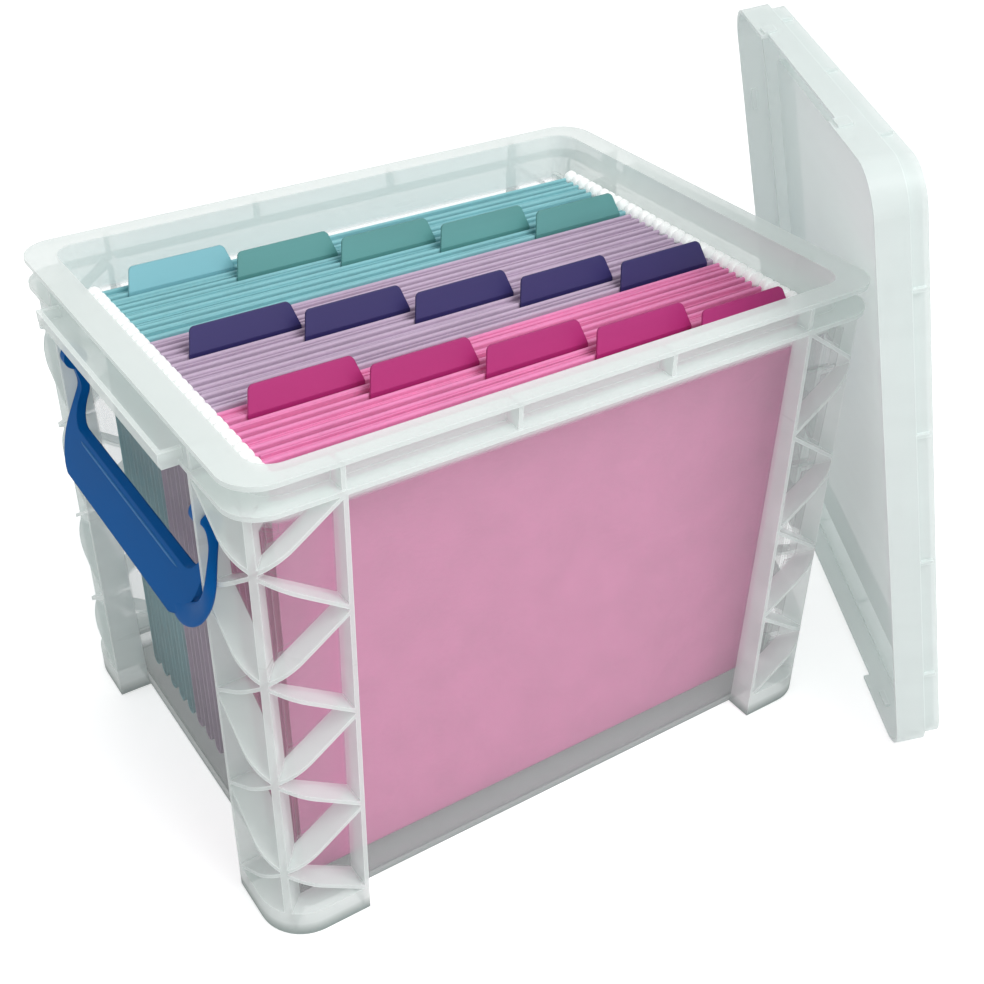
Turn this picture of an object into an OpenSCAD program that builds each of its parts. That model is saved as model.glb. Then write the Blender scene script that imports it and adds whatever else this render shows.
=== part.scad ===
// Portable hanging-file box: a moulded tub with ribbed corner columns, two bail
// handles, a lift-off lid standing beside it, and hanging folders with index tabs.
// Millimetres. +X runs along the long side, +Z up. The origin is on the floor,
// at the centre of the tub's footprint.

/* [Box] */
// Length of the tub over its corner columns
body_l = 355; // [330:5:430]
// Width of the tub over its corner columns
body_w = 266; // [235:5:330]
// Height of the tub from the floor to the rim's top
body_h = 273; // [258:1:330]
// Corner radius of the corner columns
column_r = 24; // [20:1:30]

/* [Tub walls] */
// Wall and floor thickness
wall = 2; // [1.6:0.1:3]
// Inward slope of the walls towards the floor, in degrees
draft = 1.2; // [0:0.1:1.5]
// Distance of the wall from the column face at the floor, short sides
inset_x = 18.5; // [17:0.5:24]
// Distance of the wall from the column face at the floor, long sides
inset_y = 16; // [15:0.5:22]
// Corner radius of the tub's wall at the floor
tub_r = 9; // [6:1:12]
// Height of the tub's underside above the floor
floor_gap = 0; // [0:0.5:4]

/* [Rim] */
// Corner radius of the rim's two flanges
rim_r = 18; // [14:1:24]
// Thickness of the top lip
lip_t = 2.5; // [2:0.5:4]
// Thickness of the lower flange
shelf_t = 2.5; // [2:0.5:4]
// Drop from the rim's top to the top of the lower flange
shelf_drop = 14.5; // [12:0.5:18]
// Distance of the middle gussets from the tub's centre
gusset_x = 43; // [30:1:60]

/* [Corner columns] */
// Width of a column, from the column face to its end plate
column_w = 49; // [40:1:55]
// Number of zigzag tiers down each column
tiers = 4; // [3:1:5]
// Height of the foot skirt at the bottom of each column
foot_h = 15.5; // [12:0.5:20]
// Thickness of the column plates
plate_t = 2.4; // [2:0.2:3]
// Thickness of the rib on the corner itself
corner_rib_t = 4; // [3:0.5:8]

/* [Latch bars] */
// Length of the gutter along each short side that the lid hooks into
latch_l = 152; // [120:2:160]
// How far the gutter stands out past the rim
latch_out = 9; // [8:0.5:12]
// Height of the gutter's outer wall
latch_h = 8; // [6:0.5:10]

/* [File rails] */
// Distance of the rails from the tub's centre plane, to their middles
rail_x = 155.5; // [153:0.5:157]
// Thickness of each rail
rail_t = 2.4; // [2:0.2:3]
// Drop from the rim's top to the rail's top edge
rail_drop = 24; // [22:1:40]
// Height of the rail above the ledge that carries it
rail_h = 8; // [6:0.5:10]

/* [Handles] */
// Height of the handle's pivot above the floor
pivot_z = 232; // [222:1:238]
// Distance of the pivot from the column face
pivot_in = 6.5; // [6:0.5:8]
// Diameter of the pivot pin
pin_d = 6; // [5:0.5:7]
// Clearance around the pivot pin, on the radius
pin_gap = 0.1; // [0.05:0.05:0.3]
// Thickness of the handle's band
band_t = 4.4; // [3.6:0.2:5.6]
// Width of the handle's arms
arm_w = 6; // [5:0.5:8]
// Height of the handle's grip
grip_h = 23; // [18:1:28]
// Drop from the pivot to the bottom of the grip
grip_drop = 58; // [52:1:66]
// How far the grip's foot stands out past the column face
grip_out = 9; // [7:0.5:12]
// Distance of the handle's elbow from the pivot, in towards the wall
elbow_in = 3.2; // [2:0.2:3.6]
// Drop from the pivot to the elbow
elbow_drop = 17; // [14:1:20]

/* [Lid] */
// Depth of the lid over its skirt
lid_d = 25; // [22:0.5:38]
// Thickness of the lid's panel and skirt
lid_t = 2; // [1.6:0.1:3]
// Clearance between the lid's skirt and the rim
lid_gap = 1.5; // [1:0.5:3]
// Height of the set-back band around the lid's outer face
lid_band = 9; // [6:0.5:10]
// Width of the border around the sunk panel
lid_border = 28; // [24:1:40]
// Depth that the panel is sunk below the border
lid_step = 7; // [5:0.5:9]
// Length of the shallow cut in the skirt at each short end
lid_cut = 136; // [100:2:160]
// Turn of the standing lid about the vertical, in degrees
lid_yaw = 29.4; // [20:0.2:40]
// Lean of the standing lid towards the tub, in degrees
lid_lean = 12.4; // [8:0.2:16]
// Distance along the standing lid from its front edge to the rim corner it leans on
lid_along = 70.5; // [50:0.5:130]

/* [Hanging folders] */
// Width of a folder's sheet
folder_w = 300; // [290:1:300]
// Height of a folder from its fold to its top edge
folder_h = 248; // [200:1:250]
// Thickness of the folder's card
card_t = 0.6; // [0.4:0.1:0.8]
// Spacing of the folders along the rails
folder_pitch = 12.8; // [12.6:0.1:14]
// Spacing of a folder's own two hanger bars
bar_gap = 7.4; // [7.2:0.1:8]
// Place of the rearmost folder's back edge, along Y
folder_start = 97; // [90:1:112]
// Shift of all the folders along X on the rails
folder_shift = -1; // [-1:0.5:1]
// Height of a hanger bar
bar_h = 8; // [7:0.5:10]
// Length of a hanger bar over its hooks
bar_l = 320; // [319:0.5:321]
// Thickness of a hanger bar's strip
bar_t = 1; // [0.8:0.1:1.2]
// Thickness of a hanger bar's hooks
hook_t = 3; // [2:0.2:3.4]

/* [Index tabs] */
// Width of a tab at its foot
tab_w = 59; // [50:1:60]
// Height of a tab above its folder
tab_h = 12; // [10:1:18]
// How much narrower a tab is at its top, at each side
tab_taper = 3.5; // [1:0.5:6]
// Radius of a tab's upper corners
tab_r = 3; // [2:0.5:5]
// Thickness of a tab
tab_t = 0.9; // [0.7:0.1:1.2]
// Lean of the tab back over its folder, in degrees
tab_lean = 22; // [0:1:24]
// Spacing of the tabs across a set
tab_pitch = 54.5; // [50:0.5:58]

/* [Hidden] */
$fn = 48;

// Tub: half sizes at the floor and at the rim, and the levels of rim and columns
hx = body_l / 2;
hy = body_w / 2;
foot_x = hx - inset_x;
foot_y = hy - inset_y;
wall_h = body_h - floor_gap;
flare = wall_h * tan(draft);
shelf_top = body_h - shelf_drop;
tier_h = (shelf_top - foot_h) / tiers;
end_x = hx - column_w;
end_y = hy - column_w;
rail_top = body_h - rail_drop;
ledge_z = rail_top - rail_h;

// Handle: the pivot axis, and the arms' outer faces, just inside the end plates
pivot_x = hx - pivot_in;
head_r = pin_d / 2 + 3;
arm_gap = 0.4;
arm_y = end_y - arm_gap;

// Lid: outside sizes, and the place of its front foot, found from the rim corner
// that its panel leans on
lid_l = body_l + 2 * (lid_gap + lid_t);
lid_w = body_w + 2 * (lid_gap + lid_t);
lid_r = rim_r + lid_gap + lid_t;
lid_rest = 0.3;
lid_out = [cos(lid_yaw), -sin(lid_yaw)];
lid_side = [sin(lid_yaw), cos(lid_yaw)];
lean_c = [hx - rim_r, -hy + rim_r];
lid_deep = lid_d - lid_step - lid_t;
lid_reach = lean_c * lid_out + rim_r + lid_rest + (body_h * sin(lid_lean) - lid_deep) / cos(lid_lean);
lid_foot = lid_out * lid_reach + lid_side * (lean_c * lid_side - lid_along);

// Folders: the first folder of each set, counted from the back
sets = [0, 5, 11];
fold_t = bar_t + 2 * card_t;
folder_top = rail_top + bar_h - 1;
tab_left = -2.5 * tab_pitch - folder_shift / 2;

// Rounded rectangle, centred
module plan(l, w, r) {
    square([l - 2 * r, w], center = true);
    square([l, w - 2 * r], center = true);
    for (x = [-1, 1], y = [-1, 1])
        translate([x * (l / 2 - r), y * (w / 2 - r)])
            circle(r);
}

// Drafted block from height z up: the tub's outer form, or its hollow when t is the
// wall. The corners are cones and the sides lean out from the same centres.
module drafted(t, z, h) {
    cx = foot_x - tub_r;
    cy = foot_y - tub_r;
    r0 = tub_r + (z - floor_gap) * tan(draft) - t;
    r1 = r0 + h * tan(draft);
    for (x = [-cx, cx], y = [-cy, cy])
        translate([x, y, z])
            cylinder(h = h, r1 = r0, r2 = r1);
    translate([-cx, 0, z])
        rotate([90, 0, 90])
            linear_extrude(2 * cx)
                polygon([[-cy - r0, 0], [cy + r0, 0], [cy + r1, h], [-cy - r1, h]]);
    translate([0, cy, z])
        rotate([90, 0, 0])
            linear_extrude(2 * cy)
                polygon([[-cx - r0, 0], [cx + r0, 0], [cx + r1, h], [-cx - r1, h]]);
}

// Slab across the column face that climbs from height z0 at a to height z1 at b
module climb(a, z0, b, z1) {
    up = plate_t / 2;
    polygon([[a, z0 - up], [b, z1 - up], [b, z1 + up], [a, z0 + up]]);
}

// Side view of one column face: end plate at "from", corner at "to"
module zigzag(from, to) {
    for (k = [0 : tiers - 1]) {
        z = foot_h + k * tier_h - plate_t / 2;
        climb(from, z, to, z + tier_h / 2);
        climb(from, z + tier_h, to, z + tier_h / 2);
    }
    translate([from, foot_h - plate_t])
        square([to - from, plate_t]);
}

// One corner column in the +X +Y quarter, before the tub's hollow is taken out
module column() {
    span = column_w + 1;
    depth = max(inset_x, inset_y) + wall;
    star = column_r * (1 - cos(45)) - 1;
    intersection() {
        linear_extrude(shelf_top)
            plan(body_l, body_w, column_r);
        union() {
            // end plates, from the foot to the lower flange
            translate([end_x, hy - depth, 0])
                cube([plate_t, depth, shelf_top]);
            translate([hx - depth, end_y, 0])
                cube([depth, plate_t, shelf_top]);
            // rib on the corner
            translate([hx - column_r, hy - column_r, 0])
                rotate(45)
                    translate([0, -corner_rib_t / 2, 0])
                        cube([column_r, corner_rib_t, shelf_top]);
            // zigzag plates on the long side, then on the short side
            intersection() {
                translate([0, hy, 0])
                    rotate([90, 0, 0])
                        linear_extrude(depth)
                            zigzag(end_x, hx - star);
                linear_extrude(shelf_top)
                    polygon([[hx, hy], [hx - span, hy], [hx - span, hy - span]]);
            }
            intersection() {
                translate([hx - depth, 0, 0])
                    rotate([90, 0, 90])
                        linear_extrude(depth)
                            zigzag(end_y, hy - star);
                linear_extrude(shelf_top)
                    polygon([[hx, hy], [hx, hy - span], [hx - span, hy - span]]);
            }
            // foot skirt around the outline
            difference() {
                translate([end_x, end_y, 0])
                    cube([span, span, foot_h - plate_t]);
                translate([0, 0, -1])
                    linear_extrude(foot_h)
                        plan(body_l - 2 * plate_t, body_w - 2 * plate_t, column_r - plate_t);
            }
        }
    }
}

// Lip, lower flange and the gussets between them
module rim() {
    translate([0, 0, body_h - lip_t])
        linear_extrude(lip_t)
            plan(body_l, body_w, rim_r);
    translate([0, 0, shelf_top - shelf_t])
        linear_extrude(shelf_t)
            plan(body_l, body_w, rim_r);
    for (x = [-end_x - plate_t, -gusset_x - plate_t / 2, gusset_x - plate_t / 2, end_x])
        translate([x, -hy + 1, shelf_top - shelf_t])
            cube([plate_t, body_w - 2, shelf_drop]);
    for (y = [-end_y - plate_t, end_y])
        translate([-hx + 1, y, shelf_top - shelf_t])
            cube([body_l - 2, plate_t, shelf_drop]);
}

// Gutter along the +X side, open at the top, that the lid's latch hooks into
module latch_bar() {
    z = shelf_top - shelf_t;
    translate([0, latch_l / 2, z])
        rotate([90, 0, 0])
            linear_extrude(latch_l)
                polygon([[hx - 2, 0], [hx + latch_out - 2, 0], [hx + latch_out, 2],
                    [hx + latch_out, latch_h], [hx + latch_out - plate_t, latch_h],
                    [hx + latch_out - plate_t, shelf_t], [hx - 2, shelf_t]]);
    for (y = [-latch_l / 2, latch_l / 2 - plate_t])
        translate([hx - 2, y, z])
            cube([latch_out + 1, plate_t, latch_h]);
}

// Rail and ledge inside the +X wall
module rail() {
    reach = foot_x + flare + 1 - rail_x;
    length = 2 * (foot_y + flare);
    translate([rail_x - rail_t / 2, -length / 2, ledge_z - wall])
        cube([rail_t, length, rail_h + wall]);
    translate([rail_x - rail_t / 2, -length / 2, ledge_z - wall])
        cube([reach, length, wall]);
}

module tub() color([0.87, 0.90, 0.89, 0.6]) {
    difference() {
        union() {
            difference() {
                union() {
                    drafted(0, floor_gap, wall_h);
                    for (x = [0, 1], y = [0, 1])
                        mirror([x, 0, 0])
                            mirror([0, y, 0])
                                column();
                    rim();
                    for (a = [0, 180])
                        rotate(a)
                            latch_bar();
                }
                drafted(wall, floor_gap + wall, wall_h + 1);
            }
            intersection() {
                drafted(wall / 2, floor_gap + wall, wall_h - wall);
                for (a = [0, 180])
                    rotate(a)
                        rail();
            }
        }
        // pivot bores through the four end plates
        for (x = [-pivot_x, pivot_x], y = [-end_y - plate_t / 2, end_y + plate_t / 2])
            translate([x, y, pivot_z])
                rotate([90, 0, 0])
                    cylinder(h = plate_t + 2, d = pin_d + 2 * pin_gap, center = true);
    }
}

// Points on an arc about c, from angle a0 to angle a1
function arc(c, r, a0, a1, n = 8) =
    [for (i = [0 : n]) c + r * [cos(a0 + (a1 - a0) * i / n), sin(a0 + (a1 - a0) * i / n)]];

// The handle's band seen from its end: x outwards from the pivot, z up from it.
// It runs in towards the wall to the elbow, then leans out to the grip's foot.
module band_profile() {
    foot = [pivot_in + grip_out, -grip_drop];
    bend_r = 14;
    up = atan(elbow_in / elbow_drop);
    down = atan((foot[0] + elbow_in) / (grip_drop - elbow_drop));
    to_c = (down - up) / 2;
    c = [-elbow_in, -elbow_drop] + bend_r / cos((up + down) / 2) * [cos(to_c), sin(to_c)];
    half = band_t / 2;
    head = half * [cos(up), -sin(up)];
    end = half * [cos(down), sin(down)];
    polygon(concat([head], arc(c, bend_r - half, 180 - up, 180 + down), [foot + end],
        [foot - end], arc(c, bend_r + half, 180 + down, 180 - up), [-head]));
    circle(head_r);
}

// The handle seen square on: arms, rounded lower corners and the grip
module bail_outline() {
    span = 2 * arm_y;
    round_out = 24;
    round_in = 12;
    difference() {
        translate([-arm_y, -grip_drop]) {
            translate([round_out, 0])
                square([span - 2 * round_out, round_out]);
            translate([0, round_out])
                square([span, grip_drop + head_r - round_out]);
            for (y = [round_out, span - round_out])
                translate([y, round_out])
                    circle(round_out);
        }
        translate([arm_w - arm_y, grip_h - grip_drop]) {
            translate([round_in, 0])
                square([span - 2 * arm_w - 2 * round_in, round_in]);
            translate([0, round_in])
                square([span - 2 * arm_w, grip_drop]);
            for (y = [round_in, span - 2 * arm_w - round_in])
                translate([y, round_in])
                    circle(round_in);
        }
    }
}

// Handle at the pivot, hanging on the -X side
module bail() {
    translate([-pivot_x, 0, pivot_z]) {
        intersection() {
            translate([0, body_w / 2, 0])
                rotate([90, 0, 0])
                    linear_extrude(body_w)
                        mirror([1, 0])
                            band_profile();
            translate([-40, 0, 0])
                rotate([90, 0, 90])
                    linear_extrude(60)
                        bail_outline();
        }
        // pivot pins, pointing out through the end plates
        for (s = [-1, 1])
            translate([0, s * (arm_y - 1), 0])
                rotate([-90 * s, 0, 0])
                    cylinder(h = plate_t + 2.2, d = pin_d);
    }
}

module left_handle() color([0, 0.33, 0.61]) bail();

module right_handle() color([0, 0.33, 0.61]) rotate(180) bail();

// Lid lying flat, hollow up and centred: a skirt, a border that stands out on the
// outer face, and a panel sunk between the border's walls
module lid_flat() {
    l = lid_l;
    w = lid_w;
    r = lid_r;
    back = lid_t + 1;
    edge = back + lid_t;
    difference() {
        union() {
            translate([0, 0, lid_band])
                linear_extrude(lid_d - lid_band)
                    plan(l, w, r);
            linear_extrude(lid_band + 1)
                plan(l - 2 * back, w - 2 * back, r - back);
            // ribs across the set-back band, and pads beside the cuts
            for (x = [-l / 3, -l / 9, l / 9, l / 3])
                translate([x - lid_t / 2, -w / 2 + 1, lid_t])
                    cube([lid_t, w - 2, lid_band]);
            for (y = [-w / 3, 0, w / 3])
                translate([-l / 2 + 1, y - lid_t / 2, lid_t])
                    cube([l - 2, lid_t, lid_band]);
            for (y = [-1, 1])
                translate([-l / 2 - 1.2, y * (lid_cut / 2 + 5) - 5, lid_d - 9])
                    cube([l + 2.4, 10, 7]);
        }
        translate([0, 0, lid_band + lid_t])
            linear_extrude(lid_d)
                plan(l - 2 * lid_t, w - 2 * lid_t, r - lid_t);
        difference() {
            translate([0, 0, lid_t])
                linear_extrude(lid_d)
                    plan(l - 2 * edge, w - 2 * edge, r - edge);
            linear_extrude(lid_step + lid_t)
                plan(l - 2 * lid_border, w - 2 * lid_border, 8);
        }
        translate([0, 0, -1])
            linear_extrude(lid_step + 1)
                plan(l - 2 * lid_border - 2 * lid_t, w - 2 * lid_border - 2 * lid_t, 6);
        // shallow cuts in the skirt's edge at the short ends
        translate([-l / 2 - 3, -lid_cut / 2, lid_d - 4])
            cube([l + 6, lid_cut, 5]);
    }
    // snap nibs inside the skirt
    for (x = [-l / 3, 0, l / 3], y = [-1, 1])
        translate([x, y * (w / 2 - lid_t - 0.8), lid_d - 6])
            cube([12, 2, 3], center = true);
    for (y = [-w / 3, w / 3], x = [-1, 1])
        translate([x * (l / 2 - lid_t - 0.8), y, lid_d - 6])
            cube([2, 12, 3], center = true);
}

module lid() color([0.87, 0.90, 0.89, 0.6]) {
    translate([lid_foot[0], lid_foot[1], 0])
        rotate(-lid_yaw)
            rotate([0, -lid_lean, 0])
                translate([lid_d, lid_w / 2, lid_l / 2])
                    rotate([0, -90, 0])
                        lid_flat();
}

// Back edge of folder n along Y, counted from the rearmost
function folder_y(n) = folder_start - n * folder_pitch;

// Places of folder n's two hanger bars
function bar_y(n, side) = folder_y(n) - folder_pitch / 2 - side * bar_gap / 2;

module folder(n) {
    low = folder_top - folder_h;
    r = (bar_gap + card_t) / 2;
    translate([folder_shift - folder_w / 2, bar_y(n, 0), 0])
        rotate([90, 0, 90])
            linear_extrude(folder_w)
                difference() {
                    union() {
                        for (s = [-1, 1])
                            translate([s * bar_gap / 2, 0]) {
                                translate([-card_t / 2, low + r])
                                    square([card_t, folder_h - r - 3]);
                                translate([-fold_t / 2, folder_top - bar_h - 1])
                                    square([fold_t, bar_h + 1 - fold_t / 2]);
                                translate([0, folder_top - fold_t / 2])
                                    circle(fold_t / 2);
                            }
                        translate([0, low + r])
                            circle(r);
                    }
                    translate([0, low + r])
                        circle(r - card_t);
                    translate([-r + card_t, low + r])
                        square([2 * (r - card_t), folder_h - bar_h - 1 - r]);
                    for (s = [-1, 1])
                        translate([s * bar_gap / 2 - bar_t / 2, folder_top - bar_h])
                            square([bar_t, bar_h - card_t]);
                }
}

// Two hanger bars of folder n: a strip in each fold and a hook at each end
module bars(n) {
    top = folder_top - card_t;
    tip = bar_l / 2;
    root = folder_w / 2 + 0.5;
    notch = rail_t + 1.2;
    for (s = [-1, 1])
        translate([folder_shift, bar_y(n, s), 0]) {
            translate([-root, -bar_t / 2 + 0.1, top - bar_h + 0.8])
                cube([2 * root, bar_t - 0.2, bar_h - 1.2]);
            for (m = [0, 1])
                mirror([m, 0, 0])
                    translate([0, hook_t / 2, 0])
                        rotate([90, 0, 0])
                            linear_extrude(hook_t)
                                hook(root, tip, top, notch, m);
        }
}

// Side view of a hook that sits over the rail; m is 1 on the -X side
module hook(root, tip, top, notch, m) {
    rail = rail_x + (m == 1 ? folder_shift : -folder_shift);
    difference() {
        polygon([[root, top - bar_h + 0.6], [tip, top - bar_h - 3], [tip, top - 2],
            [tip - 2, top], [root, top]]);
        translate([rail - notch / 2, rail_top - 20])
            square([notch, 20]);
    }
}

// A tab seen square on: tapered sides and rounded upper corners
module tab_outline(foot) {
    steep = atan(tab_taper / tab_h);
    cx = tab_w / 2 - tab_taper - tab_r * (1 - sin(steep)) / cos(steep);
    cz = tab_h - tab_r;
    polygon(concat([[-tab_w / 2, 0], [-tab_w / 2, -foot], [tab_w / 2, -foot], [tab_w / 2, 0]],
        arc([cx, cz], tab_r, steep, 90), arc([-cx, cz], tab_r, 90, 180 - steep)));
}

// Tab k of a set, on the front fold of folder n
module tab(n, k) {
    front = bar_y(n, 1) - fold_t / 2 - 0.2;
    foot = 7;
    slope = tan(tab_lean);
    translate([tab_left + k * tab_pitch + folder_shift + tab_w / 2, front, folder_top])
        intersection() {
            translate([-tab_w / 2, 0, 0])
                rotate([90, 0, 90])
                    linear_extrude(tab_w)
                        polygon([[-tab_t, -foot], [0, -foot], [0, 0.6],
                            [tab_h * slope, tab_h], [tab_h * slope - tab_t, tab_h], [-tab_t, 0.6]]);
            translate([0, tab_w / 2, 0])
                rotate([90, 0, 0])
                    linear_extrude(tab_w)
                        tab_outline(foot);
        }
}

module teal_folder(k) color([0.50, 0.75, 0.76]) folder(sets[0] + k - 1);

module lilac_folder(k) color([0.71, 0.66, 0.75]) folder(sets[1] + k - 1);

module pink_folder(k) color([0.91, 0.55, 0.75]) folder(sets[2] + k - 1);

module folder_bars(set, k) color([0.95, 0.96, 0.95]) bars(sets[set] + k - 1);

module teal_tab(k) color([0.40, 0.68, 0.69]) tab(sets[0] + k - 1, k - 1);

module purple_tab(k) color([0.21, 0.19, 0.42]) tab(sets[1] + k, k - 1);

module magenta_tab(k) color([0.72, 0.19, 0.48]) tab(sets[2] + k - 1, k - 1);

tub();
lid();
left_handle();
right_handle();
teal_folder(1);  // teal_folder_1
teal_folder(2);  // teal_folder_2
teal_folder(3);  // teal_folder_3
teal_folder(4);  // teal_folder_4
teal_folder(5);  // teal_folder_5
lilac_folder(1);  // lilac_folder_1
lilac_folder(2);  // lilac_folder_2
lilac_folder(3);  // lilac_folder_3
lilac_folder(4);  // lilac_folder_4
lilac_folder(5);  // lilac_folder_5
lilac_folder(6);  // lilac_folder_6
pink_folder(1);  // pink_folder_1
pink_folder(2);  // pink_folder_2
pink_folder(3);  // pink_folder_3
pink_folder(4);  // pink_folder_4
pink_folder(5);  // pink_folder_5
folder_bars(0, 1);  // teal_bars_1
folder_bars(0, 2);  // teal_bars_2
folder_bars(0, 3);  // teal_bars_3
folder_bars(0, 4);  // teal_bars_4
folder_bars(0, 5);  // teal_bars_5
folder_bars(1, 1);  // lilac_bars_1
folder_bars(1, 2);  // lilac_bars_2
folder_bars(1, 3);  // lilac_bars_3
folder_bars(1, 4);  // lilac_bars_4
folder_bars(1, 5);  // lilac_bars_5
folder_bars(1, 6);  // lilac_bars_6
folder_bars(2, 1);  // pink_bars_1
folder_bars(2, 2);  // pink_bars_2
folder_bars(2, 3);  // pink_bars_3
folder_bars(2, 4);  // pink_bars_4
folder_bars(2, 5);  // pink_bars_5
teal_tab(1);  // teal_tab_1
teal_tab(2);  // teal_tab_2
teal_tab(3);  // teal_tab_3
teal_tab(4);  // teal_tab_4
teal_tab(5);  // teal_tab_5
purple_tab(1);  // purple_tab_1
purple_tab(2);  // purple_tab_2
purple_tab(3);  // purple_tab_3
purple_tab(4);  // purple_tab_4
purple_tab(5);  // purple_tab_5
magenta_tab(1);  // magenta_tab_1
magenta_tab(2);  // magenta_tab_2
magenta_tab(3);  // magenta_tab_3
magenta_tab(4);  // magenta_tab_4
magenta_tab(5);  // magenta_tab_5
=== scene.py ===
"""Looks for a portable file box: a ribbed clear tub, its lid, two blue handles and
three sets of hanging folders with index tabs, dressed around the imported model."""

import logging
import math
import random
from dataclasses import dataclass, field
from enum import Enum

import bpy
import bmesh
from mathutils import Matrix, Vector


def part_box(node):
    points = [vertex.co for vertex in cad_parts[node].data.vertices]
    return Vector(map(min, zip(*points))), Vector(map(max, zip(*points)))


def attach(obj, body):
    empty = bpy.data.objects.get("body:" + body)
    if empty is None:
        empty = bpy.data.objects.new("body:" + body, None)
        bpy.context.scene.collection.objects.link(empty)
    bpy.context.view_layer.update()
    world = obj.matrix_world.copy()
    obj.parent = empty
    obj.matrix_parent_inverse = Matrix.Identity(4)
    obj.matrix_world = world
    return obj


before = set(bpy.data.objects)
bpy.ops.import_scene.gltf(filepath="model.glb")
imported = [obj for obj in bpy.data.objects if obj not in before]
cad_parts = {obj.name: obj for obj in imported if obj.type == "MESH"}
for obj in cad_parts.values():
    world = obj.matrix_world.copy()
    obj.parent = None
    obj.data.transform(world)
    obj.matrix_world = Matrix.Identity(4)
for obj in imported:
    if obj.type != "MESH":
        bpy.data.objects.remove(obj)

LOG = logging.getLogger("file_box")
MM = 0.001
MIX_A, MIX_B, MIX_OUT = 6, 7, 2  # the colour sockets of a Mix node set to RGBA
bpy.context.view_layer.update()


class Tint(Enum):
    """The colours, as sRGB hex."""

    CLEAR = "EDF4F2"
    CLEAR_LID = "EBF4F2"
    WALL = "C2C0C2"
    # Painted shade: a darker grey-green for the tub's floor, standing in for the shadow inside the
    # tub.
    SHADED = "7E8F8B"
    # Painted glow: the colour of an emission that stands in for light passing through milky
    # plastic.
    PAINTED_GLOW = "E6EEEC"
    BLUE = "0060AC"
    # Painted highlight: a lighter copy of the handle blue for the grip's bead, standing in for its
    # highlight line.
    BEAD_PAINTED_HIGHLIGHT_BLUE = "3C84C4"
    TEAL_CARD = "8FCBD2"
    LILAC_CARD = "CBB6CE"
    PINK_CARD = "F292C4"
    TEAL_TAB_LIGHT = "8CCBD6"
    TEAL_TAB = "64A5A3"
    PURPLE_TAB = "38326F"
    MAGENTA_TAB = "BC2F7E"
    HANGER = "FBFCFB"


def linear(tint: Tint, gain: float = 1.0) -> tuple[float, float, float, float]:
    """Turns a tint into the linear colour that shader sockets hold.

    Args:
        tint: the colour to read.
        gain: a factor on all three channels.

    Returns:
        Red, green, blue and an alpha of 1.
    """
    def channel(pair: str) -> float:
        """One hex pair in linear light."""
        c = int(pair, 16) / 255
        return (c / 12.92 if c <= 0.04045 else ((c + 0.055) / 1.055) ** 2.4) * gain

    code = tint.value
    return (channel(code[0:2]), channel(code[2:4]), channel(code[4:6]), 1.0)


class Wiring:
    """Adds and joins nodes in one tree."""

    def __init__(self, tree: bpy.types.NodeTree) -> None:
        """Keeps the tree to work in."""
        self.tree = tree

    def add(self, kind: str, **values: object) -> bpy.types.Node:
        """Adds a node.

        Args:
            kind: the node's type name, without its common prefix.
            values: attributes of the node, or defaults of its inputs where the
                name starts with "in_"; underscores after that stand for spaces.

        Returns:
            The new node.
        """
        node = self.tree.nodes.new("ShaderNode" + kind)
        for name, value in values.items():
            if name.startswith("in_"):
                node.inputs[name[3:].replace("_", " ")].default_value = value
            else:
                setattr(node, name, value)
        return node

    def join(self, source: bpy.types.NodeSocket, target: bpy.types.NodeSocket) -> None:
        """Links an output to an input."""
        self.tree.links.new(source, target)

    def math(self, operation: str, a: object, b: object = 0.0,
             clamp: bool = False) -> bpy.types.NodeSocket:
        """Puts a sum or product of sockets or numbers in the tree.

        Args:
            operation: the Math node's operation.
            a: first socket or number.
            b: second socket or number.
            clamp: whether the result stays between 0 and 1.

        Returns:
            The result's socket.
        """
        node = self.add("Math", operation=operation, use_clamp=clamp)
        for socket, value in zip(node.inputs, (a, b)):
            if isinstance(value, (int, float)):
                socket.default_value = value
            else:
                self.join(value, socket)
        return node.outputs[0]


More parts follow.
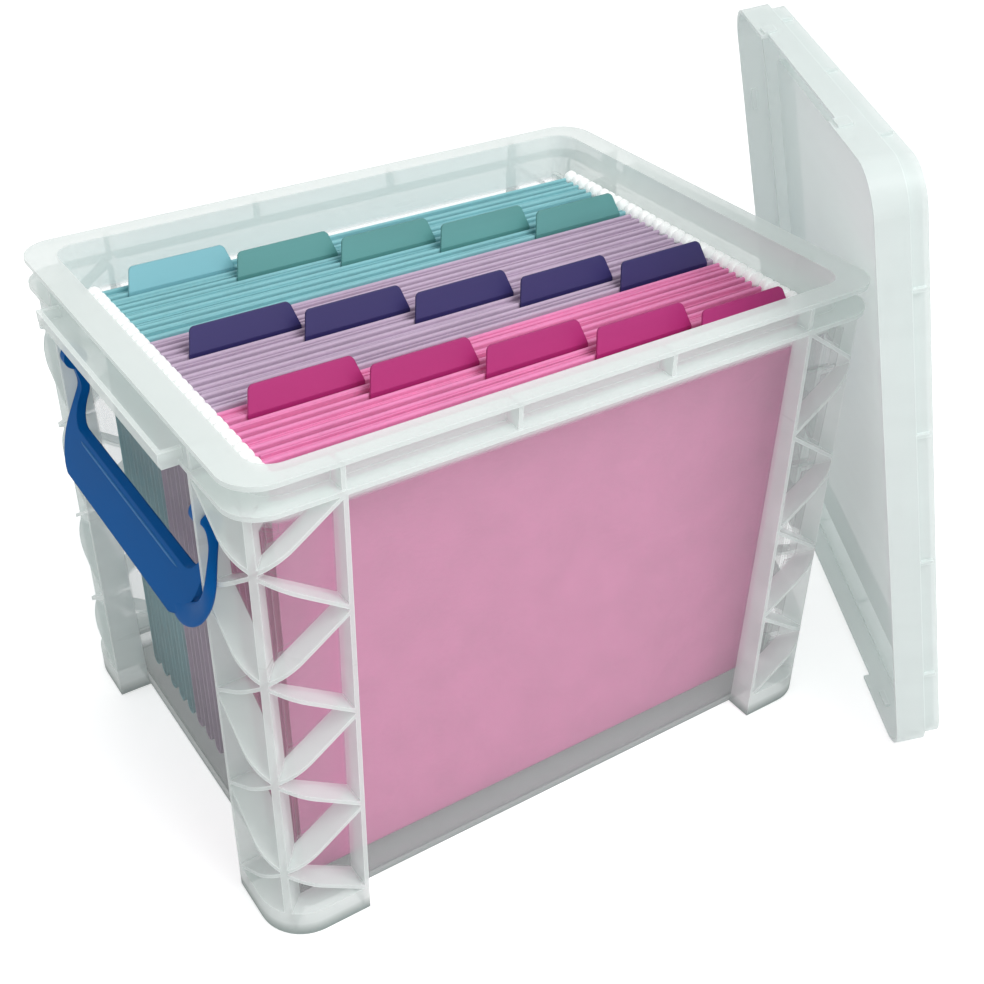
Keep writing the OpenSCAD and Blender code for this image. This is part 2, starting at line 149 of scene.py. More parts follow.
class Effects:
    """The shader node groups that the materials share."""

    flow_share: float = 0.6
    rib_ramp: float = 2000.0
    rim_ramp: float = 400.0
    floor_ramp: float = 150.0

    def __init__(self) -> None:
        """Builds each group once."""
        self.grain = self._grain()
        self.edge = self._edge()
        self.fibre = self._fibre()
        self.thick = self._thick()

    @staticmethod
    def _group(name: str, inputs: dict[str, float], outputs: dict[str, str]
               ) -> tuple[bpy.types.NodeTree, Wiring, bpy.types.Node, bpy.types.Node]:
        """Makes an empty group with its sockets.

        Args:
            name: the group's name.
            inputs: float inputs with their defaults.
            outputs: output names with their socket types.

        Returns:
            The group, its wiring, and its input and output nodes.
        """
        tree = bpy.data.node_groups.new(name, "ShaderNodeTree")
        for key, value in inputs.items():
            socket = tree.interface.new_socket(key, in_out="INPUT", socket_type="NodeSocketFloat")
            socket.default_value = value
        for key, kind in outputs.items():
            tree.interface.new_socket(key, in_out="OUTPUT", socket_type=kind)
        start = tree.nodes.new("NodeGroupInput")
        end = tree.nodes.new("NodeGroupOutput")
        return tree, Wiring(tree), start, end

    def _grain(self) -> bpy.types.NodeTree:
        """Moulded plastic: a fine grain, slow waves and long flow marks.

        Returns:
            A group with Height and Shade outputs.
        """
        tree, w, start, end = self._group(
            "Moulded grain", {"Grain": 1.0, "Waves": 1.0},
            {"Height": "NodeSocketFloat", "Shade": "NodeSocketFloat"})
        place = w.add("TexCoord").outputs["Object"]
        fine = w.add("TexNoise", in_Scale=1400.0, in_Detail=2.0)
        slow = w.add("TexNoise", in_Scale=14.0, in_Detail=3.0)
        stretch = w.add("Mapping", in_Scale=(3.0, 3.0, 40.0))
        flow = w.add("TexNoise", in_Scale=1.6, in_Detail=4.0)
        w.join(place, fine.inputs["Vector"])
        w.join(place, slow.inputs["Vector"])
        w.join(place, stretch.inputs["Vector"])
        w.join(stretch.outputs[0], flow.inputs["Vector"])
        small = w.math("MULTIPLY", fine.outputs[0], start.outputs["Grain"])
        big = w.math("MULTIPLY", slow.outputs[0], start.outputs["Waves"])
        w.join(w.math("ADD", small, big), end.inputs["Height"])
        shade = w.math("ADD", w.math("MULTIPLY", flow.outputs[0], self.flow_share),
                       w.math("MULTIPLY", slow.outputs[0], 1 - self.flow_share))
        w.join(shade, end.inputs["Shade"])
        return tree

    def _edge(self) -> bpy.types.NodeTree:
        """Rounded edges: a softened normal, and a mask that is 1 on an edge.

        Returns:
            A group with Normal and Mask outputs.
        """
        tree, w, start, end = self._group(
            "Soft edge", {"Radius": 0.001, "Gain": 4.0},
            {"Normal": "NodeSocketVector", "Mask": "NodeSocketFloat"})
        bevel = w.add("Bevel", samples=2)
        w.join(start.outputs["Radius"], bevel.inputs["Radius"])
        plain = w.add("NewGeometry")
        dot = w.add("VectorMath", operation="DOT_PRODUCT")
        w.join(bevel.outputs[0], dot.inputs[0])
        w.join(plain.outputs["Normal"], dot.inputs[1])
        turn = w.math("SUBTRACT", 1.0, dot.outputs["Value"], clamp=True)
        w.join(w.math("MULTIPLY", turn, start.outputs["Gain"], clamp=True), end.inputs["Mask"])
        w.join(bevel.outputs[0], end.inputs["Normal"])
        return tree

    def _thick(self) -> bpy.types.NodeTree:
        """The tub's ribs, flanges and floor, told from its thin wall by their place.

        The wall leans out from Long and Wide at the floor by Slope. All that stands
        out past it is ribs and flanges, and above Rim the wall itself is thicker.

        Returns:
            A group with Mask and Low outputs; Low is 1 at the floor, where the tub gets its
            painted shade.
        """
        tree, w, start, end = self._group(
            "Thick parts", {"Long": 0.16, "Wide": 0.12, "Slope": 0.02, "Rim": 0.25, "Floor": 0.01},
            {"Mask": "NodeSocketFloat", "Low": "NodeSocketFloat"})
        axes = w.add("SeparateXYZ")
        w.join(w.add("TexCoord").outputs["Object"], axes.inputs[0])
        x, y, z = axes.outputs
        lean = w.math("MULTIPLY", z, start.outputs["Slope"])
        past = []
        for axis, key in ((x, "Long"), (y, "Wide")):
            wall = w.math("ADD", start.outputs[key], lean)
            past.append(w.math("SUBTRACT", w.math("ABSOLUTE", axis), wall))
        rib = w.math("MULTIPLY", w.math("MAXIMUM", *past), self.rib_ramp, clamp=True)
        above = w.math("MULTIPLY", w.math("SUBTRACT", z, start.outputs["Rim"]), self.rim_ramp,
                       clamp=True)
        w.join(w.math("MAXIMUM", rib, above), end.inputs["Mask"])
        under = w.math("SUBTRACT", start.outputs["Floor"], z)
        w.join(w.math("MULTIPLY", under, self.floor_ramp, clamp=True), end.inputs["Low"])
        return tree

    def _fibre(self) -> bpy.types.NodeTree:
        """Card: short fibres, a slow mottle and a faint laid line.

        Returns:
            A group with Height and Shade outputs.
        """
        tree, w, start, end = self._group(
            "Card fibre", {"Scale": 1.0, "Mottle": 1.0},
            {"Height": "NodeSocketFloat", "Shade": "NodeSocketFloat"})
        place = w.add("TexCoord").outputs["Object"]
        scaled = w.add("VectorMath", operation="SCALE")
        w.join(place, scaled.inputs[0])
        w.join(start.outputs["Scale"], scaled.inputs["Scale"])
        long_way = w.add("Mapping", in_Scale=(0.35, 1.0, 1.0))
        w.join(scaled.outputs[0], long_way.inputs["Vector"])
        fibres = w.add("TexNoise", in_Scale=900.0, in_Detail=4.0)
        mottle = w.add("TexNoise", in_Scale=45.0, in_Detail=3.0)
        w.join(long_way.outputs[0], fibres.inputs["Vector"])
        w.join(scaled.outputs[0], mottle.inputs["Vector"])
        soft = w.math("MULTIPLY", mottle.outputs[0], start.outputs["Mottle"])
        w.join(w.math("ADD", fibres.outputs[0], soft), end.inputs["Height"])
        w.join(w.math("ADD", w.math("MULTIPLY", fibres.outputs[0], 0.5),
                      w.math("MULTIPLY", soft, 0.5)), end.inputs["Shade"])
        return tree


@dataclass(frozen=True)
class Finish:
    """A material recipe on one Principled shader."""

    name: str
    tint: Tint
    deep: Tint
    roughness: float
    bump: float
    gain: float = 1.0
    deep_gain: float = 0.9
    shade_low: float = 0.32
    shade_high: float = 0.62
    rough_spread: float = 0.08
    bump_depth: float = 0.0004

    def _start(self, effects: Effects, group: bpy.types.NodeTree, settings: dict[str, float]
               ) -> tuple[bpy.types.Material, Wiring, bpy.types.Node, bpy.types.Node]:
        """Makes the material with its pattern, colour mix and bump.

        Args:
            effects: the shared groups; not used.
            group: the pattern group to use.
            settings: values for the pattern group's inputs.

        Returns:
            The material, its wiring, the Principled node and the bump node.
        """
        mat = bpy.data.materials.new(self.name)
        mat.use_nodes = True
        w = Wiring(mat.node_tree)
        shader = mat.node_tree.nodes["Principled BSDF"]
        pattern = w.add("Group", node_tree=group)
        for key, value in settings.items():
            pattern.inputs[key].default_value = value
        mix = w.add("Mix", data_type="RGBA")
        mix.inputs[MIX_A].default_value = linear(self.deep, self.deep_gain)
        mix.inputs[MIX_B].default_value = linear(self.tint, self.gain)
        spread = w.add("MapRange", clamp=True, in_From_Min=self.shade_low,
                       in_From_Max=self.shade_high)
        w.join(pattern.outputs["Shade"], spread.inputs["Value"])
        w.join(spread.outputs[0], mix.inputs[0])
        w.join(mix.outputs[MIX_OUT], shader.inputs["Base Color"])
        rough = w.math("ADD", w.math("MULTIPLY", spread.outputs[0], self.rough_spread),
                       self.roughness - self.rough_spread / 2)
        w.join(rough, shader.inputs["Roughness"])
        bump = w.add("Bump", in_Strength=self.bump, in_Distance=self.bump_depth)
        w.join(pattern.outputs["Height"], bump.inputs["Height"])
        w.join(bump.outputs[0], shader.inputs["Normal"])
        return mat, w, shader, bump


@dataclass(frozen=True)
class Plastic(Finish):
    """Moulded plastic with softened edges where solid; where alpha is under 1 it is see-through,
    with more solid edges.
    """

    alpha: float = 1.0
    edge_alpha: float = 0.0
    edge_radius: float = 0.0008
    waves: float = 1.0
    grain: float = 0.25
    ior: float = 1.49
    specular: float = 0.5
    # Strength of a painted glow: emission that stands in for light passing through the plastic,
    # which is no lamp.
    painted_glow: float = 0.0

    def build(self, effects: Effects) -> bpy.types.Material:
        """Makes the material.

        Args:
            effects: the shared groups.

        Returns:
            The new material.
        """
        mat, w, shader, bump = self._start(effects, effects.grain,
                                           {"Grain": self.grain, "Waves": self.waves})
        edge = w.add("Group", node_tree=effects.edge)
        edge.inputs["Radius"].default_value = self.edge_radius
        shader.inputs["IOR"].default_value = self.ior
        shader.inputs["Specular IOR Level"].default_value = self.specular
        # Painted glow: a faint emission that brightens the plastic as if light passed through it.
        shader.inputs["Emission Color"].default_value = linear(Tint.PAINTED_GLOW)
        shader.inputs["Emission Strength"].default_value = self.painted_glow
        mat.cycles.emission_sampling = "NONE"
        if self.alpha == 1:
            w.join(edge.outputs["Normal"], bump.inputs["Normal"])
            return mat
        lift = w.math("MULTIPLY", edge.outputs["Mask"], self.edge_alpha)
        solid = w.math("ADD", lift, self.body(effects, w, shader), clamp=True)
        w.join(solid, shader.inputs["Alpha"])
        return mat

    def body(self, effects: Effects, w: Wiring, shader: bpy.types.Node) -> object:
        """How solid the plastic looks away from its edges.

        Args:
            effects: the shared groups.
            w: the material's wiring.
            shader: the Principled node.

        Returns:
            A number or a socket with the plastic's alpha.
        """
        return self.alpha


@dataclass(frozen=True)
class ShellPlastic(Plastic):
    """The tub's plastic: a clear thin wall, milky ribs and flanges, and a more solid floor tinted
    darker as painted shade.
    """

    rib_alpha: float = 0.5
    floor_alpha: float = 0.5
    long: float = 0.1595
    wide: float = 0.1175
    slope: float = 0.02095
    rim: float = 0.244
    floor: float = 0.008

    def body(self, effects: Effects, w: Wiring, shader: bpy.types.Node) -> object:
        """Sets the colour and alpha of ribs, flanges and floor by their place, with painted shade
        on the floor.

        Args:
            effects: the shared groups.
            w: the material's wiring.
            shader: the Principled node.

        Returns:
            A socket with the alpha.
        """
        thick = w.add("Group", node_tree=effects.thick)
        for key, value in (("Long", self.long), ("Wide", self.wide), ("Slope", self.slope),
                           ("Rim", self.rim), ("Floor", self.floor)):
            thick.inputs[key].default_value = value
        wall = w.add("Mix", data_type="RGBA")
        w.join(thick.outputs["Mask"], wall.inputs[0])
        wall.inputs[MIX_A].default_value = linear(Tint.WALL)
        w.join(shader.inputs["Base Color"].links[0].from_socket, wall.inputs[MIX_B])
        # Painted shade: the floor zone is tinted a darker grey-green that stands in for the shadow
        # inside the tub.
        tint = w.add("Mix", data_type="RGBA")
        w.join(thick.outputs["Low"], tint.inputs[0])
        w.join(wall.outputs[MIX_OUT], tint.inputs[MIX_A])
        tint.inputs[MIX_B].default_value = linear(Tint.SHADED)
        w.join(tint.outputs[MIX_OUT], shader.inputs["Base Color"])
        ribs = w.math("MULTIPLY", thick.outputs["Mask"], self.rib_alpha - self.alpha)
        low = w.math("MULTIPLY", thick.outputs["Low"], self.floor_alpha - self.alpha)
        return w.math("ADD", w.math("MAXIMUM", ribs, low), self.alpha)


@dataclass(frozen=True)
class Card(Finish):
    """Folded card or paper with a visible fibre."""

    scale: float = 1.0
    mottle: float = 1.0
    sheen: float = 0.08

    def build(self, effects: Effects) -> bpy.types.Material:
        """Makes the material.

        Args:
            effects: the shared groups.

        Returns:
            The new material.
        """
        mat, _, shader, _ = self._start(effects, effects.fibre,
                                        {"Scale": self.scale, "Mottle": self.mottle})
        shader.inputs["Sheen Weight"].default_value = self.sheen
        return mat


class Dye(Enum):
    """The three sets of folders, as they are named in the model."""

    TEAL = "teal"
    LILAC = "lilac"
    PINK = "pink"


@dataclass
class PhotoCamera:
    """The camera that matches the photograph's view."""

    place: tuple[float, float, float] = (-0.33755, -0.54516, 0.57568)
    azimuth: float = 34.13
    pitch: float = 34.66
    roll: float = 1.06
    lens: float = 50.405
    sensor: float = 36.0
    near: float = 0.01

    def build(self) -> None:
        """Adds the camera and makes it the scene's own."""
        az, pitch, roll = (math.radians(a) for a in (self.azimuth, self.pitch, self.roll))
        level = math.cos(pitch)
        ahead = Vector((math.sin(az) * level, math.cos(az) * level, -math.sin(pitch)))
        right = Vector((math.cos(az), -math.sin(az), 0.0))
        up = right.cross(ahead)
        x = right * math.cos(roll) + up * math.sin(roll)
        y = up * math.cos(roll) - right * math.sin(roll)
        data = bpy.data.cameras.new("camera")
        data.sensor_fit = "HORIZONTAL"
        data.sensor_width = self.sensor
        data.lens = self.lens
        data.clip_start = self.near
        obj = bpy.data.objects.new("camera", data)
        bpy.context.scene.collection.objects.link(obj)
        turn = Matrix((x, y, -ahead)).transposed().to_4x4()
        obj.matrix_world = Matrix.Translation(self.place) @ turn
        bpy.context.scene.camera = obj


@dataclass
class Studio:
    """A pale floor, an even sky and soft lamps."""

    floor_size: float = 12.0
    floor_drop: float = 0.0006
    floor_tint: tuple[float, ...] = (0.86, 0.87, 0.87, 1)
    floor_lift: float = 0.56
    floor_rough: float = 0.9
    white: tuple[float, ...] = (1, 1, 1, 1)
    sky: float = 0.52
    key: float = 22.0
    key_size: float = 1.3
    key_place: tuple[float, float, float] = (0.45, -1.1, 1.7)
    fill: float = 2.0
    fill_size: float = 1.2
    fill_place: tuple[float, float, float] = (-1.3, 0.2, 1.3)
    back_place: tuple[float, float, float] = (0.3, 1.5, 1.3)
    aim: tuple[float, float, float] = (0, 0, 0.15)
    see_through: int = 40

    def build(self) -> None:
        """Adds the floor, the world and the lamps."""
        self._floor()
        self._world()
        self._lamp("key_lamp", self.key_place, self.key_size, self.key)
        self._lamp("fill_lamp", self.fill_place, self.fill_size, self.fill)
        self._lamp("back_lamp", self.back_place, self.fill_size, self.fill)
        bpy.context.scene.view_settings.view_transform = "Standard"
        bpy.context.scene.cycles.transparent_max_bounces = self.see_through

    def _floor(self) -> None:
        """Adds the floor, which keeps the shadow and is white to the camera."""
        half = self.floor_size / 2
        mesh = bpy.data.meshes.new("floor")
        corners = [(-half, -half, 0), (half, -half, 0), (half, half, 0), (-half, half, 0)]
        mesh.from_pydata(corners, [], [(0, 1, 2, 3)])
        floor = bpy.data.objects.new("floor", mesh)
        floor.location.z = -self.floor_drop
        bpy.context.scene.collection.objects.link(floor)
        mat = bpy.data.materials.new("floor")
        mat.use_nodes = True
        w = Wiring(mat.node_tree)
        shader = mat.node_tree.nodes["Principled BSDF"]
        shader.inputs["Base Color"].default_value = self.floor_tint
        shader.inputs["Roughness"].default_value = self.floor_rough
        shader.inputs["Emission Color"].default_value = self.white
        rays = w.add("LightPath")
        w.join(w.math("MULTIPLY", rays.outputs["Is Camera Ray"], self.floor_lift),
               shader.inputs["Emission Strength"])
        mesh.materials.append(mat)

    def _world(self) -> None:
        """Sets an even sky that the camera sees as white."""
        world = bpy.data.worlds.new("sky")
        world.use_nodes = True
        bpy.context.scene.world = world
        w = Wiring(world.node_tree)
        back = world.node_tree.nodes["Background"]
        back.inputs["Color"].default_value = self.white
        rays = w.add("LightPath")
        lift = w.math("MULTIPLY", rays.outputs["Is Camera Ray"], 1.0 - self.sky)
        w.join(w.math("ADD", lift, self.sky), back.inputs["Strength"])

    def _lamp(self, name: str, place: tuple[float, float, float], size: float,
              power: float) -> None:
        """Adds a square soft lamp that faces the box.

        Args:
            name: the lamp's name.
            place: its position.
            size: its side.
            power: its power in watts.
        """
        data = bpy.data.lights.new(name, "AREA")
        data.energy = power
        data.size = size
        lamp = bpy.data.objects.new(name, data)
        bpy.context.scene.collection.objects.link(lamp)
        aim = Vector(self.aim) - Vector(place)
        lamp.rotation_euler = aim.to_track_quat("-Z", "Y").to_euler()
        lamp.location = place


def dress(node: str, mat: bpy.types.Material) -> None:
    """Gives a model node its material.

    Args:
        node: the node's name.
        mat: the material for every slot of it.
    """
    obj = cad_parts[node]
    if not obj.material_slots:
        obj.data.materials.append(mat)
    for slot in obj.material_slots:
        slot.material = mat


def ellipse(angle: float, power: float) -> tuple[float, float]:
    """A point on a squared-off circle of radius 1.

    Args:
        angle: where on it, in radians.
        power: 1 for a circle, and less for squarer shoulders.

    Returns:
        Its two coordinates.
    """
    c, s = math.cos(angle), math.sin(angle)
    return math.copysign(abs(c) ** power, c), math.copysign(abs(s) ** power, s)


def skin(bm: bmesh.types.BMesh, rings: list[list[bmesh.types.BMVert]],
         flip: bool = False) -> None:
    """Joins rings of vertices into a tube and closes its two ends.

    Args:
        bm: the mesh to add to.
        rings: the rings, in order, all of one length.
        flip: whether the rings run the other way round.
    """
    for a, b in zip(rings, rings[1:]):
        for j in range(len(a)):
            n = (j + 1) % len(a)
            bm.faces.new((a[j], b[j], b[n], a[n]) if flip else (a[j], a[n], b[n], b[j]))
    first, last = rings[0], rings[-1]
    bm.faces.new(first if flip else list(reversed(first)))
    bm.faces.new(list(reversed(last)) if flip else last)


def piece(bm: bmesh.types.BMesh, name: str, mat: bpy.types.Material,
          smooth: bool = True) -> bpy.types.Object:
    """Turns a finished bmesh into an object of the scene.

    Args:
        bm: the mesh, which is freed.
        name: the object's name.
        mat: its material.
        smooth: whether its faces are shaded smooth.

    Returns:
        The new object.
    """
    mesh = bpy.data.meshes.new(name)
    bm.to_mesh(mesh)
    bm.free()
    if smooth:
        for face in mesh.polygons:
            face.use_smooth = True
    obj = bpy.data.objects.new(name, mesh)
    bpy.context.scene.collection.objects.link(obj)
    mesh.materials.append(mat)
    return obj


@dataclass
class ClearShell:
    """The tub and the lid, in clear plastic."""

    # Both mouldings carry a faint painted glow: emission that stands in for light passing through
    # milky plastic.
    wall: Plastic = ShellPlastic("tub_clear_plastic", Tint.CLEAR, Tint.CLEAR, 0.3, 0.12,
                                 alpha=0.15, edge_alpha=0.4, deep_gain=0.95, painted_glow=0.07,
                                 rib_alpha=0.6, floor_alpha=0.55)
    panel: Plastic = Plastic("lid_clear_plastic", Tint.CLEAR_LID, Tint.CLEAR_LID, 0.34, 0.12,
                             alpha=0.66, edge_alpha=0.3, deep_gain=0.95, painted_glow=0.07)

    def build(self, effects: Effects) -> None:
        """Dresses both mouldings."""
        dress("tub", self.wall.build(effects))
        dress("lid", self.panel.build(effects))
        LOG.info("tub and lid dressed")


@dataclass
class Handles:
    """The two blue bail handles."""

    finish: Plastic = Plastic("handle_blue_plastic", Tint.BLUE, Tint.BLUE, 0.42, 0.15,
                              deep_gain=0.88, edge_radius=0.0012, specular=0.08)
    # The bead's lighter blue is a painted highlight along the grip.
    bead_painted_highlight_finish: Plastic = Plastic("handle_bead_painted_highlight_plastic", Tint.BEAD_PAINTED_HIGHLIGHT_BLUE, Tint.BEAD_PAINTED_HIGHLIGHT_BLUE, 0.4, 0.1,
                                   deep_gain=0.9, specular=0.3)
    pivot: tuple[float, float] = (171.0, 232.0)
    elbow: tuple[float, float] = (-3.2, -17.0)
    foot: tuple[float, float] = (15.5, -58.0)
    band: float = 4.4
    bead_from_elbow: tuple[float, ...] = (24.5,)
    bead_reach: float = 63.0
    bead_width: float = 1.5
    bead_height: float = 0.45
    bead_sink: float = 0.1
    bead_steps: int = 40
    bead_arc: int = 6
    bead_fade: float = 12
    bead_tip: float = 0.02
    bow: tuple[tuple[float, ...], ...] = (
        (-184.1, -58.0, 179.2, 3.0, 1.2), (-184.1, -68.0, 179.4, 4.8, 2.1),
        (-183.9, -78.0, 180.4, 5.8, 2.15), (-183.0, -86.5, 185.0, 5.6, 2.0),
        (-182.1, -94.0, 192.5, 4.4, 1.8), (-181.4, -100.0, 201.5, 3.5, 1.7),
        (-180.4, -102.6, 210.0, 2.8, 1.6), (-178.2, -101.0, 217.0, 2.3, 1.5),
        (-174.6, -96.0, 223.5, 2.1, 1.4), (-172.2, -91.0, 227.5, 2.8, 1.3),
        (-171.1, -88.6, 230.5, 4.6, 1.2), (-171.0, -88.2, 233.5, 4.9, 1.2),
        (-171.0, -88.2, 236.8, 1.2, 0.8))
    bow_steps: int = 6
    bow_sides: int = 16
    bow_square: float = 0.7
    bow_face: tuple[float, float, float] = (-0.91, 0, 0.415)
    bow_turned: float = 0.83

    def build(self, effects: Effects) -> None:
        """Dresses both handles and adds their beads and bowed arms."""
        mat = self.finish.build(effects)
        # The bead material is a lighter blue that paints a highlight line.
        bead = self.bead_painted_highlight_finish.build(effects)
        for side, sign in (("left", -1), ("right", 1)):
            dress(f"{side}_handle", mat)
            for n, along in enumerate(self.bead_from_elbow, 1):
                self._bead(f"{side}_grip_bead_{n}", side, sign, along, bead)
            self._bowed_arm(side, -sign, mat)
        LOG.info("handles dressed")

    def _bead(self, name: str, side: str, sign: int, along: float,
              mat: bpy.types.Material) -> None:
        """Adds a low rounded bead with faded ends on a grip's outer face.

        Args:
            name: the bead's name.
            side: the handle it is on.
            sign: -1 on the left, 1 on the right.
            along: its distance down the slanted band from the elbow, in mm.
            mat: the bead's material, a lighter blue that paints a highlight line on the grip.
        """
        down = Vector((self.foot[0] - self.elbow[0], 0, self.foot[1] - self.elbow[1])).normalized()
        out = Vector((-down.z, 0, down.x))
        base = Vector((self.pivot[0] + self.elbow[0], 0, self.pivot[1] + self.elbow[1]))
        base += down * along + out * (self.band / 2 - self.bead_sink)
        bm = bmesh.new()
        rings = []
        for i in range(self.bead_steps + 1):
            u = 2 * i / self.bead_steps - 1
            fade = max(math.sqrt(max(0.0, 1 - abs(u) ** self.bead_fade)), self.bead_tip)
            y = Vector((0, u * self.bead_reach, 0))
            ring = []
            for j in range(self.bead_arc + 1):
                a = math.pi * j / self.bead_arc
                p = base + y + down * (math.cos(a) * self.bead_width / 2 * fade)
                p += out * (math.sin(a) * (self.bead_height + self.bead_sink) * fade)
                ring.append(bm.verts.new((sign * p.x * MM, p.y * MM, p.z * MM)))
            rings.append(ring)
        skin(bm, rings)
        bmesh.ops.recalc_face_normals(bm, faces=bm.faces)
        obj = piece(bm, name, mat)
        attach(obj, f"{side}_handle")

    def _bow_stations(self) -> list[tuple[Vector, float, float]]:
        """Runs a smooth curve through the rows of the bow.

        Returns:
            Points in mm, each with half a width and half a thickness.
        """
        rows = [Vector(row) for row in self.bow]
        rows = [2 * rows[0] - rows[1], *rows, 2 * rows[-1] - rows[-2]]
        out = []
        for a, b, c, d in zip(rows, rows[1:], rows[2:], rows[3:]):
            for i in range(self.bow_steps):
                t = i / self.bow_steps
                p = 2 * b + (c - a) * t + (2 * a - 5 * b + 4 * c - d) * t * t
                out.append((p + (3 * b - a - 3 * c + d) * t ** 3) / 2)
        out.append(rows[-2])
        return [(Vector(p[:3]), p[3], p[4]) for p in out]

    def _bowed_arm(self, side: str, turn: int, mat: bpy.types.Material) -> None:
        """Adds the band that bows out from the grip's end and round to the pin's head.

        Args:
            side: the handle it is on.
            turn: 1 on the left, and -1 on the right, which is half a turn round.
            mat: the band's material.
        """
        stations = self._bow_stations()
        last = len(stations) - 1
        bm = bmesh.new()
        rings = []
        for i, (place, width, thick) in enumerate(stations):
            along = (stations[min(i + 1, last)][0] - stations[max(i - 1, 0)][0]).normalized()
            turned = min(1.0, i / last / self.bow_turned) ** 2
            face = Vector(self.bow_face).lerp(Vector((0, -1, 0)), turned)
            flat = (face - along * face.dot(along)).normalized()
            across = along.cross(flat)
            ring = []
            for j in range(self.bow_sides):
                c, n = ellipse(math.tau * j / self.bow_sides, self.bow_square)
                p = place + across * (c * width) + flat * (n * thick)
                ring.append(bm.verts.new((turn * p.x * MM, turn * p.y * MM, p.z * MM)))
            rings.append(ring)
        skin(bm, rings)
        bmesh.ops.recalc_face_normals(bm, faces=bm.faces)
        obj = piece(bm, f"{side}_bowed_arm", mat)
        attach(obj, f"{side}_handle")


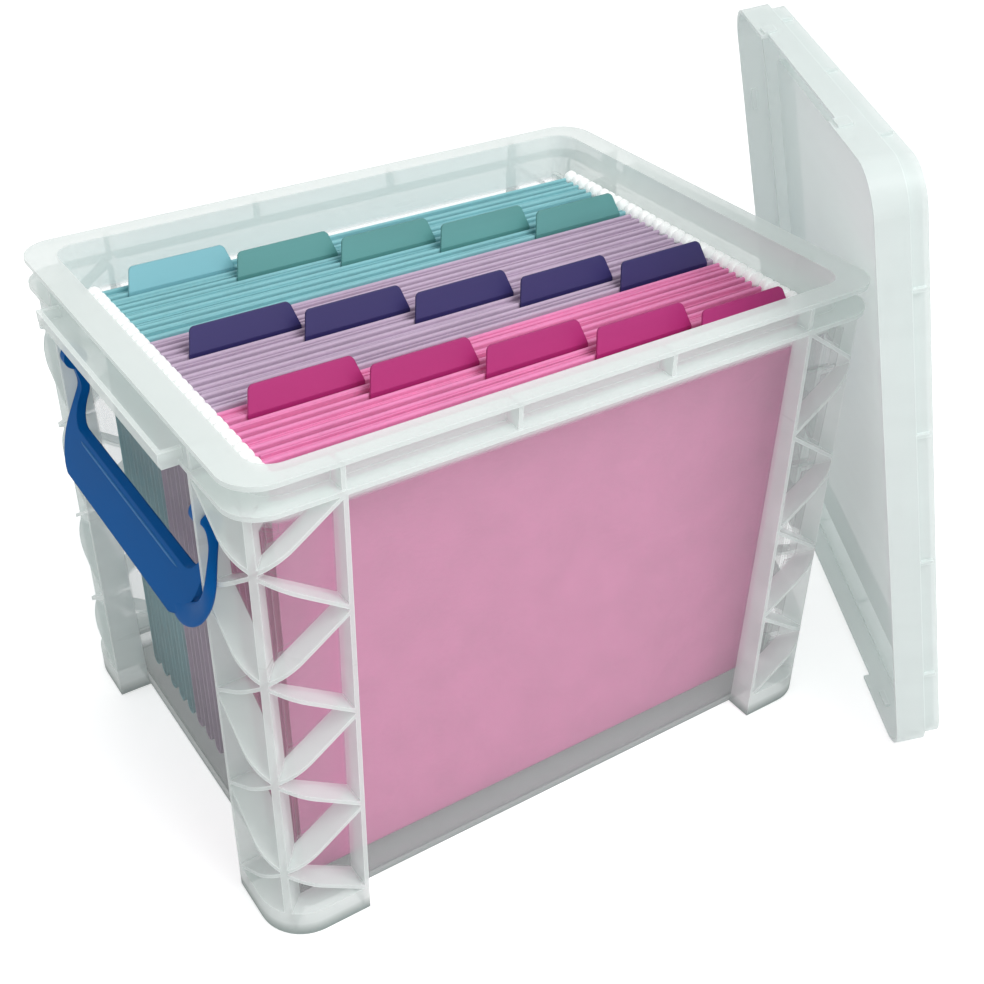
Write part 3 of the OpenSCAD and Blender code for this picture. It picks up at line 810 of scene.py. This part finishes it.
@dataclass
class FileSet:
    """One set of hanging folders with their bars, tabs and the sheets in them."""

    dye: Dye
    count: int
    tab_name: str
    first_tab: int
    card: Card
    tab: Plastic
    first_look: Plastic | None = None
    bar_gap: float = 7.4 * MM
    end_size: Vector = field(default_factory=lambda: Vector((8.5, 4.9, 6.3)) * MM)
    end_lap: float = 3.6 * MM
    end_sink: float = 2.6 * MM
    end_sides: int = 20
    end_levels: int = 5
    end_square: float = 0.6
    end_dome: float = 3.5
    end_top: float = 0.25
    sheet_half: float = 0.1465
    sheet_low: float = 0.045
    sheet_columns: int = 24
    sheet_wave: float = 0.28 * MM
    sheet_wave_turn: float = 5.0
    sheet_sag: float = 0.5 * MM
    sheet_sag_turn: float = 2.2
    spread: tuple[float, ...] = (-2.3, -1.15, 0.0, 1.15, 2.3)

    def build(self, effects: Effects, hanger: bpy.types.Material) -> None:
        """Dresses the set's nodes and adds its sheets.

        Args:
            effects: the shared groups.
            hanger: the material of the hanger bars.
        """
        card = self.card.build(effects)
        tab = self.tab.build(effects)
        for k in range(1, self.count + 1):
            dress(f"{self.dye.value}_folder_{k}", card)
            dress(f"{self.dye.value}_bars_{k}", hanger)
            if k >= self.first_tab:
                first = k == self.first_tab and self.first_look is not None
                look = self.first_look.build(effects) if first else tab
                dress(f"{self.tab_name}_tab_{k + 1 - self.first_tab}", look)
            self._sheets(k, card)
            self._hook_ends(k, hanger)
        LOG.info("%s set built", self.dye.value)

    def _hook_ends(self, k: int, hanger: bpy.types.Material) -> None:
        """Adds the rounded ends that crown the four hooks of folder k.

        Args:
            k: the folder's number in the set.
            hanger: the material of the hanger bars.
        """
        low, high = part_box(f"{self.dye.value}_folder_{k}")
        middle = (low.y + high.y) / 2
        bm = bmesh.new()
        for end, way in ((low.x, -1), (high.x, 1)):
            for side in (-1, 1):
                x = end + way * (self.end_size.x / 2 - self.end_lap)
                y = middle + side * self.bar_gap / 2
                self._crown(bm, Vector((x, y, high.z - self.end_sink)))
        obj = piece(bm, f"{self.dye.value}_hook_ends_{k}", hanger)
        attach(obj, f"{self.dye.value}_file_{k}")

    def _crown(self, bm: bmesh.types.BMesh, foot: Vector) -> None:
        """Adds one loaf-shaped end: square-shouldered below and domed above.

        Args:
            bm: the mesh to add to.
            foot: the middle of its underside.
        """
        rings = []
        for level in range(self.end_levels + 1):
            t = level / self.end_levels
            shrink = (1 - t ** self.end_dome) ** 0.5 if t < 1 else self.end_top
            ring = []
            for j in range(self.end_sides):
                c, n = ellipse(math.tau * j / self.end_sides, self.end_square)
                x, y = c * self.end_size.x / 2 * shrink, n * self.end_size.y / 2 * shrink
                ring.append(bm.verts.new(foot + Vector((x, y, t * self.end_size.z))))
            rings.append(ring)
        skin(bm, rings)

    def _sheets(self, k: int, card: bpy.types.Material) -> None:
        """Adds the loose sheets that stand in folder k's pocket.

        Args:
            k: the folder's number in the set.
            card: the sheets' material.
        """
        rng = random.Random(f"{self.dye.value}{k}")
        low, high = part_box(f"{self.dye.value}_folder_{k}")
        middle = (low.y + high.y) / 2
        centre = (low.x + high.x) / 2
        bm = bmesh.new()
        for offset in self.spread:
            y = middle + (offset + rng.uniform(-0.2, 0.2)) * MM
            top = high.z - rng.uniform(0.3, 3.2) * MM
            half = self.sheet_half - rng.uniform(0.0, 2.0) * MM
            phase = rng.uniform(0, math.tau)
            self._sheet(bm, centre, y, top, half, phase, rng.uniform(0.6, 0.9) * MM)
        obj = piece(bm, f"{self.dye.value}_sheets_{k}", card, smooth=False)
        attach(obj, f"{self.dye.value}_file_{k}")

    def _sheet(self, bm: bmesh.types.BMesh, centre: float, y: float, top: float, half: float,
               phase: float, thick: float) -> None:
        """Adds one slightly wavy sheet with a rounded top edge.

        Args:
            bm: the mesh to add to.
            centre: the sheet's middle along X.
            y: the sheet's place along Y.
            top: the height of its top edge.
            half: half its width.
            phase: where its wave starts.
            thick: its thickness, or that of the few sheets it stands for.
        """
        r = thick / 2
        rings = []
        for i in range(self.sheet_columns + 1):
            u = i / self.sheet_columns
            x = centre - half + 2 * half * u
            mid = y + self.sheet_wave * math.sin(phase + self.sheet_wave_turn * u)
            crest = top + self.sheet_sag * math.sin(phase * 2 + self.sheet_sag_turn * u)
            ring = [(x, mid - r, self.sheet_low), (x, mid - r, crest - r),
                    (x, mid - 0.6 * r, crest - 0.2 * r), (x, mid, crest),
                    (x, mid + 0.6 * r, crest - 0.2 * r),
                    (x, mid + r, crest - r), (x, mid + r, self.sheet_low)]
            rings.append([bm.verts.new(p) for p in ring])
        skin(bm, rings, flip=True)


def sets() -> list[FileSet]:
    """The three sets, from the back of the box to its front.

    Returns:
        The teal, lilac and pink sets.
    """
    def card(name: str, tint: Tint) -> Card:
        """Card in one tint."""
        return Card(name, tint, tint, 0.75, 0.25, deep_gain=0.87)

    def tab(name: str, tint: Tint, deep_gain: float) -> Plastic:
        """Tab plastic in one tint."""
        return Plastic(name, tint, tint, 0.45, 0.15, deep_gain=deep_gain)

    return [
        FileSet(Dye.TEAL, 5, "teal", 1, card("teal_card", Tint.TEAL_CARD),
                tab("teal_tab_plastic", Tint.TEAL_TAB, 0.85),
                first_look=tab("teal_tab_light_plastic", Tint.TEAL_TAB_LIGHT, 0.93)),
        FileSet(Dye.LILAC, 6, "purple", 2, card("lilac_card", Tint.LILAC_CARD),
                tab("purple_tab_plastic", Tint.PURPLE_TAB, 0.9)),
        FileSet(Dye.PINK, 5, "magenta", 1, card("pink_card", Tint.PINK_CARD),
                tab("magenta_tab_plastic", Tint.MAGENTA_TAB, 0.92)),
    ]


def main() -> None:
    """Builds the scene in order and reports each piece."""
    logging.basicConfig(level=logging.INFO, format="%(message)s")
    PhotoCamera().build()
    Studio().build()
    effects = Effects()
    ClearShell().build(effects)
    Handles().build(effects)
    # The hangers carry a stronger painted glow: emission that makes the hooks and bars read bright
    # white.
    hanger = Plastic("hanger_white_plastic", Tint.HANGER, Tint.HANGER, 0.4, 0.1,
                     deep_gain=0.97, painted_glow=0.18)
    hanger_mat = hanger.build(effects)
    for files in sets():
        files.build(effects, hanger_mat)


if __name__ == "__main__":
    main()
